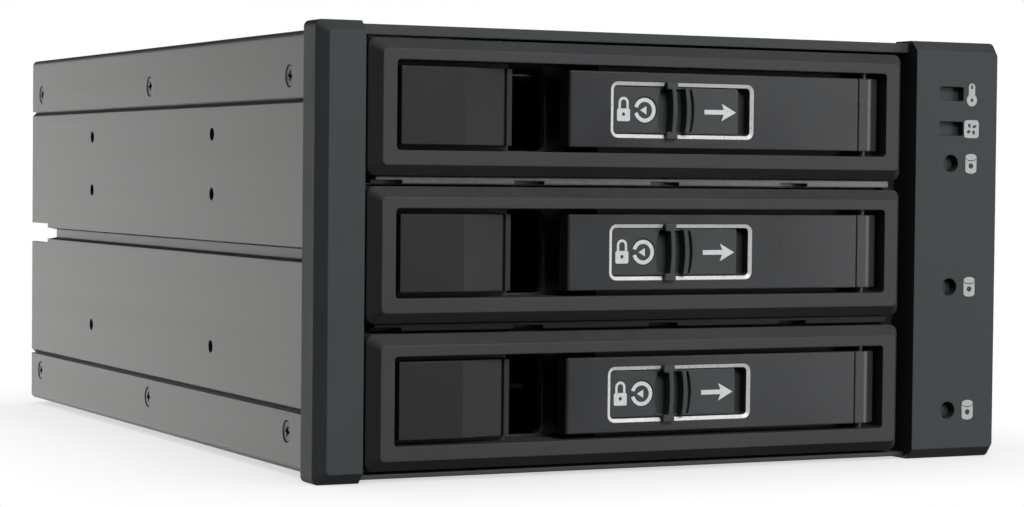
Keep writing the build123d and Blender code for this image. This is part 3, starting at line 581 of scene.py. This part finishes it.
# Points: front outer, front inner, back outer and back inner edge, in this order
def latchRim(number, leverFace, z):
    inset, bands = rim["inset"], 2 * rim["band"]
    outer = rimLoop(z, rim["wide"] - inset, rim["high"] - inset, rim["radius"])
    inner = rimLoop(z, rim["wide"] - bands + inset, rim["high"] - bands + inset, rim["innerRadius"])
    count = len(outer)
    points = []
    for lift in (rim["thick"], 0.0):
        points += [(u, leverFace - lift, v) for u, v in outer]
        points += [(u, leverFace + rim["slope"] - lift, v) for u, v in inner]
    faces = []
    gaps = [i for i in range(count) if {outer[i][0], outer[(i + 1) % count][0]} == set(rim["gapX"])]
    for i in range(count):
        j = (i + 1) % count
        if i in gaps:
            continue
        faces.append((i, j, count + j, count + i))
        faces.append((3 * count + i, 3 * count + j, 2 * count + j, 2 * count + i))
        faces.append((2 * count + i, 2 * count + j, j, i))
        faces.append((count + i, count + j, 3 * count + j, 3 * count + i))
    for i in gaps:
        j = (i + 1) % count
        faces.append((i, count + i, 3 * count + i, 2 * count + i))
        faces.append((count + j, j, 2 * count + j, 3 * count + j))
    return linkObject(f"latch_rim_{number}", meshFrom(f"latch_rim_{number}", points, faces))


# Printed marks on each latch: a padlock and an arrow, and on the lock a broken ring and a triangle

padlock = {
    "x": -11.55,
    "up": 0.15,             # above the lever's middle
    "wide": 2.8,
    "bodyHigh": 2.4,
    "bodyDrop": 1.1,
    "bodyRadius": 0.35,
    "keyholeDrop": 1.0,
    "keyholeRadius": 0.35,
    "bowInset": 0.3,
    "bowLine": 0.5,
    "bowUp": 1.2,
    "footUp": 0.12,
}

arrow = {
    "start": 6.2,
    "tip": 13.2,
    "down": 0.1,            # below the lever's middle
    "headLong": 3.2,
    "headHigh": 3.4,
    "barHigh": 0.9,
    "barb": 0.5,
}

lockMark = {
    "x": -6.9,
    "ringOuter": 2.35,
    "ringInner": 1.6,
    "ringReach": 164,       # degrees to each side of the right
    "triangleRadius": 0.95,
    "triangleBehind": 0.7,
    "triangleThick": 0.5,
}

markThick = 0.05
latchBehind = 0.6           # the latch plate lies this far behind the lever's face


def padlockLoops(middle):
    p = padlock
    x, z = p["x"], middle + p["up"]
    body = roundedLoop(x, z - p["bodyDrop"], p["wide"], p["bodyHigh"], p["bodyRadius"])
    keyhole = circleLoop(x, z - p["keyholeDrop"], p["keyholeRadius"], 16)
    bow, line = p["wide"] / 2 - p["bowInset"], p["bowLine"]
    top, foot = z + p["bowUp"], z + p["footUp"]
    shackle = [(x + bow, foot)] + arcPoints(x, top, bow, 0, 180) + [(x - bow, foot)]
    shackle += [(x - bow + line, foot)] + arcPoints(x, top, bow - line, 180, 0)
    shackle += [(x + bow - line, foot)]
    return [body, keyhole, shackle]


def arrowLoop(middle):
    a = arrow
    z, start, tip = middle - a["down"], a["start"], a["tip"]
    neck = tip - a["headLong"]
    bar, head = a["barHigh"] / 2, a["headHigh"] / 2
    return [(start, z - bar), (neck + a["barb"], z - bar), (neck, z - head), (tip, z), (neck, z + head),
            (neck + a["barb"], z + bar), (start, z + bar)]


def lockMarks(number, z, plateFace):
    m = lockMark
    ring = bandLoop(m["x"], z, m["ringOuter"], m["ringInner"], -m["ringReach"], m["ringReach"])
    lockFace = lowOf(f"lock_rotor_{number}").y
    ringMark = printedMark(f"lock_ring_{number}", [ring], lockFace, markThick)
    tip = turned(circleLoop(m["x"], z, m["triangleRadius"], 3), m["x"], z, 180)
    triangle = printedMark(f"lock_arrow_{number}", [tip], plateFace + m["triangleBehind"],
                           m["triangleThick"])
    return joinMeshes(f"lock_marks_{number}", [ringMark, triangle])


def dressLevers():
    for n in trayNumbers:
        z = middleOf(f"lever_{n}").z
        leverFace = lowOf(f"lever_{n}").y
        plateFace = leverFace + latchBehind
        finishPiece(latchRim(n, leverFace, z), f"lever_{n}", materials["rimPaint"])
        marks = printedMark(f"latch_marks_{n}", padlockLoops(z) + [arrowLoop(z)], plateFace, markThick)
        finishPiece(marks, f"latch_{n}", materials["whitePrint"])
        finishPiece(lockMarks(n, z, plateFace), f"lock_{n}", materials["whitePrint"])


dressLevers()
print("lever marks made")


# Signs beside the indicators

signX = 67.6

driveMark = {
    "wide": 2.7,
    "high": 4.0,
    "lidHigh": 1.3,
    "lidGap": 0.18,
    "holeDrop": 0.45,
    "holeWide": 1.15,
    "holeHigh": 1.1,
}

thermometer = {
    "tubeRadius": 0.78,
    "tubeUp": 1.45,
    "bulbRadius": 1.25,
    "bulbDrop": 1.15,
    "dropRadius": 0.36,
    "slitUp": 0.05,
    "slitWide": 0.5,
    "slitHigh": 0.9,
    "slitRadius": 0.24,
}

fanMark = {
    "side": 3.6,
    "radius": 0.7,
    "petalAt": (0.82, 0.26),
    "petalWide": 0.95,
    "petalHigh": 0.62,
    "petalTurn": 20,
}


def driveSign(x, z):
    d = driveMark
    wide, high, lidHigh = d["wide"], d["high"], d["lidHigh"]
    top = z + high / 2 - lidHigh / 2
    low = z - high / 2 + lidHigh / 2
    foot = arcPoints(x, 0, 1, 180, 360, 16)
    body = [(x + (u - x) * wide / 2, low + v * lidHigh / 2) for u, v in foot]
    body += [(x + (u - x) * wide / 2, top - d["lidGap"] + v * lidHigh / 2) for u, v in foot[::-1]]
    hole = ovalLoop(x, z - d["holeDrop"], d["holeWide"], d["holeHigh"], 20)
    return [ovalLoop(x, top, wide, lidHigh), body, hole]


def thermometerSign(x, z):
    t = thermometer
    tube, bulb = t["tubeRadius"], t["bulbRadius"]
    low, top = z - t["bulbDrop"], z + t["tubeUp"]
    lean = math.degrees(math.asin(tube / bulb))
    outline = arcPoints(x, low, bulb, 90 + lean, 450 - lean, 24) + arcPoints(x, top, tube, 0, 180, 12)
    drop = circleLoop(x, low, t["dropRadius"], 16)
    slit = roundedLoop(x, top + t["slitUp"], t["slitWide"], t["slitHigh"], t["slitRadius"], 4)
    return [outline, drop, slit]


def fanSign(x, z):
    f = fanMark
    across, up = f["petalAt"]
    petal = ovalLoop(x + across, z + up, f["petalWide"], f["petalHigh"], 18)
    petals = [turned(petal, x, z, turn * 90 + f["petalTurn"]) for turn in range(4)]
    return [roundedLoop(x, z, f["side"], f["side"], f["radius"])] + petals


# One sign beside each lamp; the chips' own vertices give the heights, lowest first
def dressColumn():
    levels = sorted({round(v.co.z / mm, 1) for v in nodes["lamp_chips"].data.vertices})
    centres = [(a + b) / 2 for a, b in zip(levels[::2], levels[1::2])]
    loops = []
    for z in centres[:3]:
        loops += driveSign(signX, z)
    loops += fanSign(signX, centres[3]) + thermometerSign(signX, centres[4])
    piece = printedMark("indicator_signs", loops, lowOf("front_bezel").y, markThick)
    finishPiece(piece, "cage", materials["greyPrint"])


dressColumn()
print("indicator signs made")


# Cover screws with a cross recess, in place of the plain ones

screw = {
    "headRadius": 2.13,     # of the countersink at the sheet's face
    "sunk": 0.16,
    "headDeep": 0.8,
    "shankRadius": 1.2,
    "shankLong": 4.0,
    "sides": 32,
    "crossLong": 2.5,
    "crossWide": 0.8,
    "crossDeep": 0.7,
    "crossAbove": 0.2,
    "crossTaper": 0.55,
    "firstTurn": 17,        # degrees; no two crosses stand alike
    "nextTurn": 41,
    "reach": 6,             # vertices nearer to each other than this belong to one screw
}


def screwMesh():
    s = screw
    body = bmesh.new()
    rings = [(s["sunk"], s["headRadius"] - s["sunk"]),
             (s["headDeep"], s["headRadius"] - s["headDeep"]),
             (s["headDeep"], s["shankRadius"]),
             (s["shankLong"] + s["headDeep"], s["shankRadius"])]
    count = s["sides"]
    turns = [2 * math.pi * i / count for i in range(count)]
    loops = []
    for depth, radius in rings:
        loops.append([body.verts.new((depth * mm, radius * math.cos(t) * mm, radius * math.sin(t) * mm))
                      for t in turns])
    for first, second in zip(loops, loops[1:]):
        for i in range(count):
            j = (i + 1) % count
            body.faces.new((first[i], first[j], second[j], second[i]))
    body.faces.new(loops[0][::-1])
    body.faces.new(loops[-1])
    bmesh.ops.recalc_face_normals(body, faces=body.faces)
    mesh = bpy.data.meshes.new("screwBody")
    body.to_mesh(mesh)
    body.free()
    return mesh


def crossCutter():
    s = screw
    a, b = s["crossLong"] / 2, s["crossWide"] / 2
    outline = [(a, -b), (a, b), (b, b), (b, a), (-b, a), (-b, b), (-a, b), (-a, -b), (-b, -b),
               (-b, -a), (b, -a), (b, -b)]
    top, bottom, taper = -s["crossAbove"], s["crossDeep"], s["crossTaper"]
    count = len(outline)
    points = [(top, u, v) for u, v in outline] + [(bottom, u * taper, v * taper) for u, v in outline]
    faces = [tuple(range(count))[::-1], tuple(range(count, 2 * count))]
    for i in range(count):
        j = (i + 1) % count
        faces.append((i, j, count + j, count + i))
    mesh = meshFrom("crossCut", points, faces)
    outward = bmesh.new()
    outward.from_mesh(mesh)
    bmesh.ops.recalc_face_normals(outward, faces=outward.faces)
    outward.to_mesh(mesh)
    outward.free()
    return mesh


def crossScrew():
    head = linkObject("screwHead", screwMesh())
    cutter = linkObject("screwCutter", crossCutter())
    cut = head.modifiers.new("cross", "BOOLEAN")
    cut.operation = "DIFFERENCE"
    cut.solver = "EXACT"
    cut.object = cutter
    mesh = bakedMesh(head)
    bpy.data.objects.remove(cutter)
    return mesh


# The middle of each screw, found from the CAD screws' own vertices
def coverScrewPlaces():
    found = {}
    for vertex in nodes["cover_screws"].data.vertices:
        p = vertex.co / mm
        for y, z, right in found:
            if (p.y - y) ** 2 + (p.z - z) ** 2 < screw["reach"] ** 2 and (p.x > 0) == right:
                found[(y, z, right)].append(p)
                break
        else:
            found[(p.y, p.z, p.x > 0)] = [p]
    places = []
    for (_, _, right), points in found.items():
        ys = [p.y for p in points]
        zs = [p.z for p in points]
        places.append(((min(ys) + max(ys)) / 2, (min(zs) + max(zs)) / 2, right))
    return sorted(places)


def dressCoverScrews():
    single = crossScrew()
    low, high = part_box("cover_screws")
    screws = []
    for index, (y, z, right) in enumerate(coverScrewPlaces()):
        one = linkObject(f"coverScrew{index}", single.copy())
        spin = Matrix.Rotation(math.radians(screw["firstTurn"] + screw["nextTurn"] * index), 4, "X")
        side = Matrix.Rotation(math.pi, 4, "Z") if right else Matrix.Identity(4)
        place = Matrix.Translation((high.x if right else low.x, y * mm, z * mm))
        one.data.transform(place @ side @ spin)
        screws.append(one)
    piece = joinMeshes("cross_head_screws", screws)
    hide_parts("cover_screws")
    finishPiece(piece, "cage", materials["screwBlack"])
    return len(screws)


print("cover screws made:", dressCoverScrews())


# Metal contacts of the ports behind

contact = {
    "count": 7,
    "pitch": 1.27,
    "wide": 0.7,
    "long": 5.6,
    "behind": 1.2,          # from the port's mouth
    "low": 0.6,             # above the port's middle
    "high": 0.68,
}

pin = {
    "steps": (-1.5, -0.5, 0.5, 1.5),
    "pitch": 5.08,
    "radius": 1.04,
    "tipTaper": 0.35,
    "foot": 9.4,            # depths, from the inlet's mouth
    "shoulder": 2.9,
    "tip": 2.44,
    "sides": 20,
}


def boxFaces(low, high):
    x, y, z = zip(low, high)
    points = [(x[i], y[j], z[k]) for i in (0, 1) for j in (0, 1) for k in (0, 1)]
    faces = [(0, 1, 3, 2), (4, 6, 7, 5), (0, 4, 5, 1), (2, 3, 7, 6), (0, 2, 6, 4), (1, 5, 7, 3)]
    return points, faces


# The middle of a connector's open end, which looks to the rear
def mouthOf(node):
    low, high = lowOf(node), highOf(node)
    return (low.x + high.x) / 2, high.y, (low.z + high.z) / 2


def portContacts(number):
    c = contact
    x, mouth, z = mouthOf(f"data_port_{number}")
    near = mouth - c["behind"]
    points, faces = [], []
    for i in range(c["count"]):
        left = x + (i - (c["count"] - 1) / 2) * c["pitch"] - c["wide"] / 2
        newPoints, newFaces = boxFaces((left, near - c["long"], z + c["low"]),
                                       (left + c["wide"], near, z + c["high"]))
        faces += [tuple(corner + len(points) for corner in face) for face in newFaces]
        points += newPoints
    return linkObject(f"port_contacts_{number}", meshFrom(f"port_contacts_{number}", points, faces))


def inletPins(number):
    p = pin
    x, mouth, z = mouthOf(f"power_inlet_{number}")
    rows = ((p["radius"], p["foot"]), (p["radius"], p["shoulder"]),
            (p["radius"] - p["tipTaper"], p["tip"]))
    count = p["sides"]
    points, faces = [], []
    for step in p["steps"]:
        start = len(points)
        for radius, depth in rows:
            loop = circleLoop(x, z + step * p["pitch"], radius, count)
            points += [(u, mouth - depth, v) for u, v in loop]
        for row in (0, 1):
            for i in range(count):
                j = (i + 1) % count
                a = start + row * count
                faces.append((a + i, a + count + i, a + count + j, a + j))
        faces.append(tuple(start + i for i in range(count)))
        faces.append(tuple(start + 2 * count + i for i in range(count))[::-1])
    return linkObject(f"inlet_pins_{number}", meshFrom(f"inlet_pins_{number}", points, faces))


def dressPorts():
    for n in trayNumbers:
        finishPiece(portContacts(n), "cage", materials["contactGold"])
    for n in (1, 2):
        finishPiece(inletPins(n), "cage", materials["screwZinc"])


dressPorts()
print("port contacts made")


# The folded hem behind the notches in each divider's front edge

dividerHem = {
    "behind": 2.6,          # from the divider's front edge
    "deep": 1.2,
    "drop": 0.2,
    "sunk": 0.05,           # how far it reaches up into the divider
    "endGap": 0.1,
}


def dressDividers():
    h = dividerHem
    for name in ("upper_divider", "lower_divider"):
        low, high = lowOf(name), highOf(name)
        front = low.y + h["behind"]
        points, faces = boxFaces((low.x + h["endGap"], front, low.z - h["drop"]),
                                 (high.x - h["endGap"], front + h["deep"], low.z + h["sunk"]))
        hem = linkObject(f"{name}_hem", meshFrom(f"{name}_hem", points, faces))
        # The lower divider's hem takes the same near-black strip, painted shade like the divider itself
        finishPiece(hem, "cage", materials[nodeFinish[name]])


dressDividers()
print("divider hems made")


# Stage: a floor that only the camera sees, soft lights and the camera of the photo

stage = {
    "floorRadius": 3.2,
    "floorSides": 96,
    "contactReach": 0.05,
    "contactShade": (0.62, 0.62, 0.62),
    "skyToCamera": 1.0,
    "skyToObject": 0.035,
}

lamps = {
    "keyBox": {"at": (0.25, -1.5, 0.9), "to": (0, 0, 0.04),
               "size": (0.9, 0.7), "power": 19},
    "rearLeftBox": {"at": (-0.27, 0.7, 0.0), "to": (-0.06, 0.08, 0.04),
                    "size": (0.35, 0.4), "power": 0.8},
    "leftBox": {"at": (-1.6, 0.9, -0.2), "to": (-0.05, 0, 0.04),
                "size": (0.8, 0.8), "power": 6.5},
    "rightBox": {"at": (1.35, -1.2, 0.05), "to": (0, -0.05, 0.04),
                 "size": (0.8, 0.8), "power": 7.5},
    "rearBox": {"at": (0.2, 1.8, -0.3), "to": (0, 0.05, 0.04),
                "size": (1.4, 1.0), "power": 7},
}

photoCamera = {
    "at": (-0.2542, -0.5383, 0.0566),
    "pitch": -1.717,
    "roll": 0.583,
    "yaw": -26.216,
    "focal": 93.85,
    "sensor": 36,
    "clip": (0.01, 50),
}


def makeFloor():
    s = stage
    ring = bmesh.new()
    bmesh.ops.create_circle(ring, cap_ends=True, segments=s["floorSides"], radius=s["floorRadius"])
    mesh = bpy.data.meshes.new("floor")
    ring.to_mesh(mesh)
    ring.free()
    floor = linkObject("floor", mesh)
    material, tree, shader = startMaterial("paleFloor")
    # Painted shadow: the floor glows white to the camera and is darkened towards contactShade where
    # ambient occlusion finds the object close by
    contact = tree.nodes.new("ShaderNodeAmbientOcclusion")
    contact.samples = 8
    contact.inputs["Distance"].default_value = s["contactReach"]
    path = tree.nodes.new("ShaderNodeLightPath")
    openness = rampBetween(tree, contact.outputs["AO"], 0, 1, 0, 1)
    paleness = mixColour(tree, openness, s["contactShade"], (1, 1, 1))
    tree.links.new(paleness, shader.inputs["Emission Color"])
    tree.links.new(path.outputs["Is Camera Ray"], shader.inputs["Emission Strength"])
    tree.links.new(path.outputs["Is Camera Ray"], shader.inputs["Alpha"])
    shader.inputs["Base Color"].default_value = (0.0, 0.0, 0.0, 1)
    shader.inputs["Specular IOR Level"].default_value = 0
    shader.inputs["Roughness"].default_value = 1
    floor.data.materials.append(material)


def makeWorld():
    world = bpy.data.worlds.new("studio")
    bpy.context.scene.world = world
    world.use_nodes = True
    tree = world.node_tree
    path = tree.nodes.new("ShaderNodeLightPath")
    strength = tree.nodes.new("ShaderNodeMix")
    tree.links.new(path.outputs["Is Camera Ray"], strength.inputs["Factor"])
    strength.inputs["A"].default_value = stage["skyToObject"]
    strength.inputs["B"].default_value = stage["skyToCamera"]
    back = tree.nodes["Background"]
    back.inputs["Color"].default_value = (1, 1, 1, 1)
    tree.links.new(strength.outputs["Result"], back.inputs["Strength"])


def makeLamps():
    for name, lamp in lamps.items():
        data = bpy.data.lights.new(name, "AREA")
        data.shape = "RECTANGLE"
        data.size, data.size_y = lamp["size"]
        data.energy = lamp["power"]
        light = linkObject(name, data)
        light.location = lamp["at"]
        light.visible_camera = False
        line = Vector(lamp["to"]) - Vector(lamp["at"])
        light.rotation_mode = "QUATERNION"
        light.rotation_quaternion = line.to_track_quat("-Z", "Y")


def makeCamera():
    c = photoCamera
    data = bpy.data.cameras.new("photoCamera")
    data.lens = c["focal"]
    data.sensor_width = c["sensor"]
    data.clip_start, data.clip_end = c["clip"]
    camera = linkObject("photoCamera", data)
    turn = (Matrix.Rotation(math.radians(c["yaw"]), 4, "Z")
            @ Matrix.Rotation(math.radians(90 + c["pitch"]), 4, "X")
            @ Matrix.Rotation(math.radians(c["roll"]), 4, "Z"))
    camera.matrix_world = Matrix.Translation(c["at"]) @ turn
    bpy.context.scene.camera = camera


makeFloor()
makeWorld()
makeLamps()
makeCamera()
bpy.context.scene.view_settings.view_transform = "Standard"
print("stage ready")
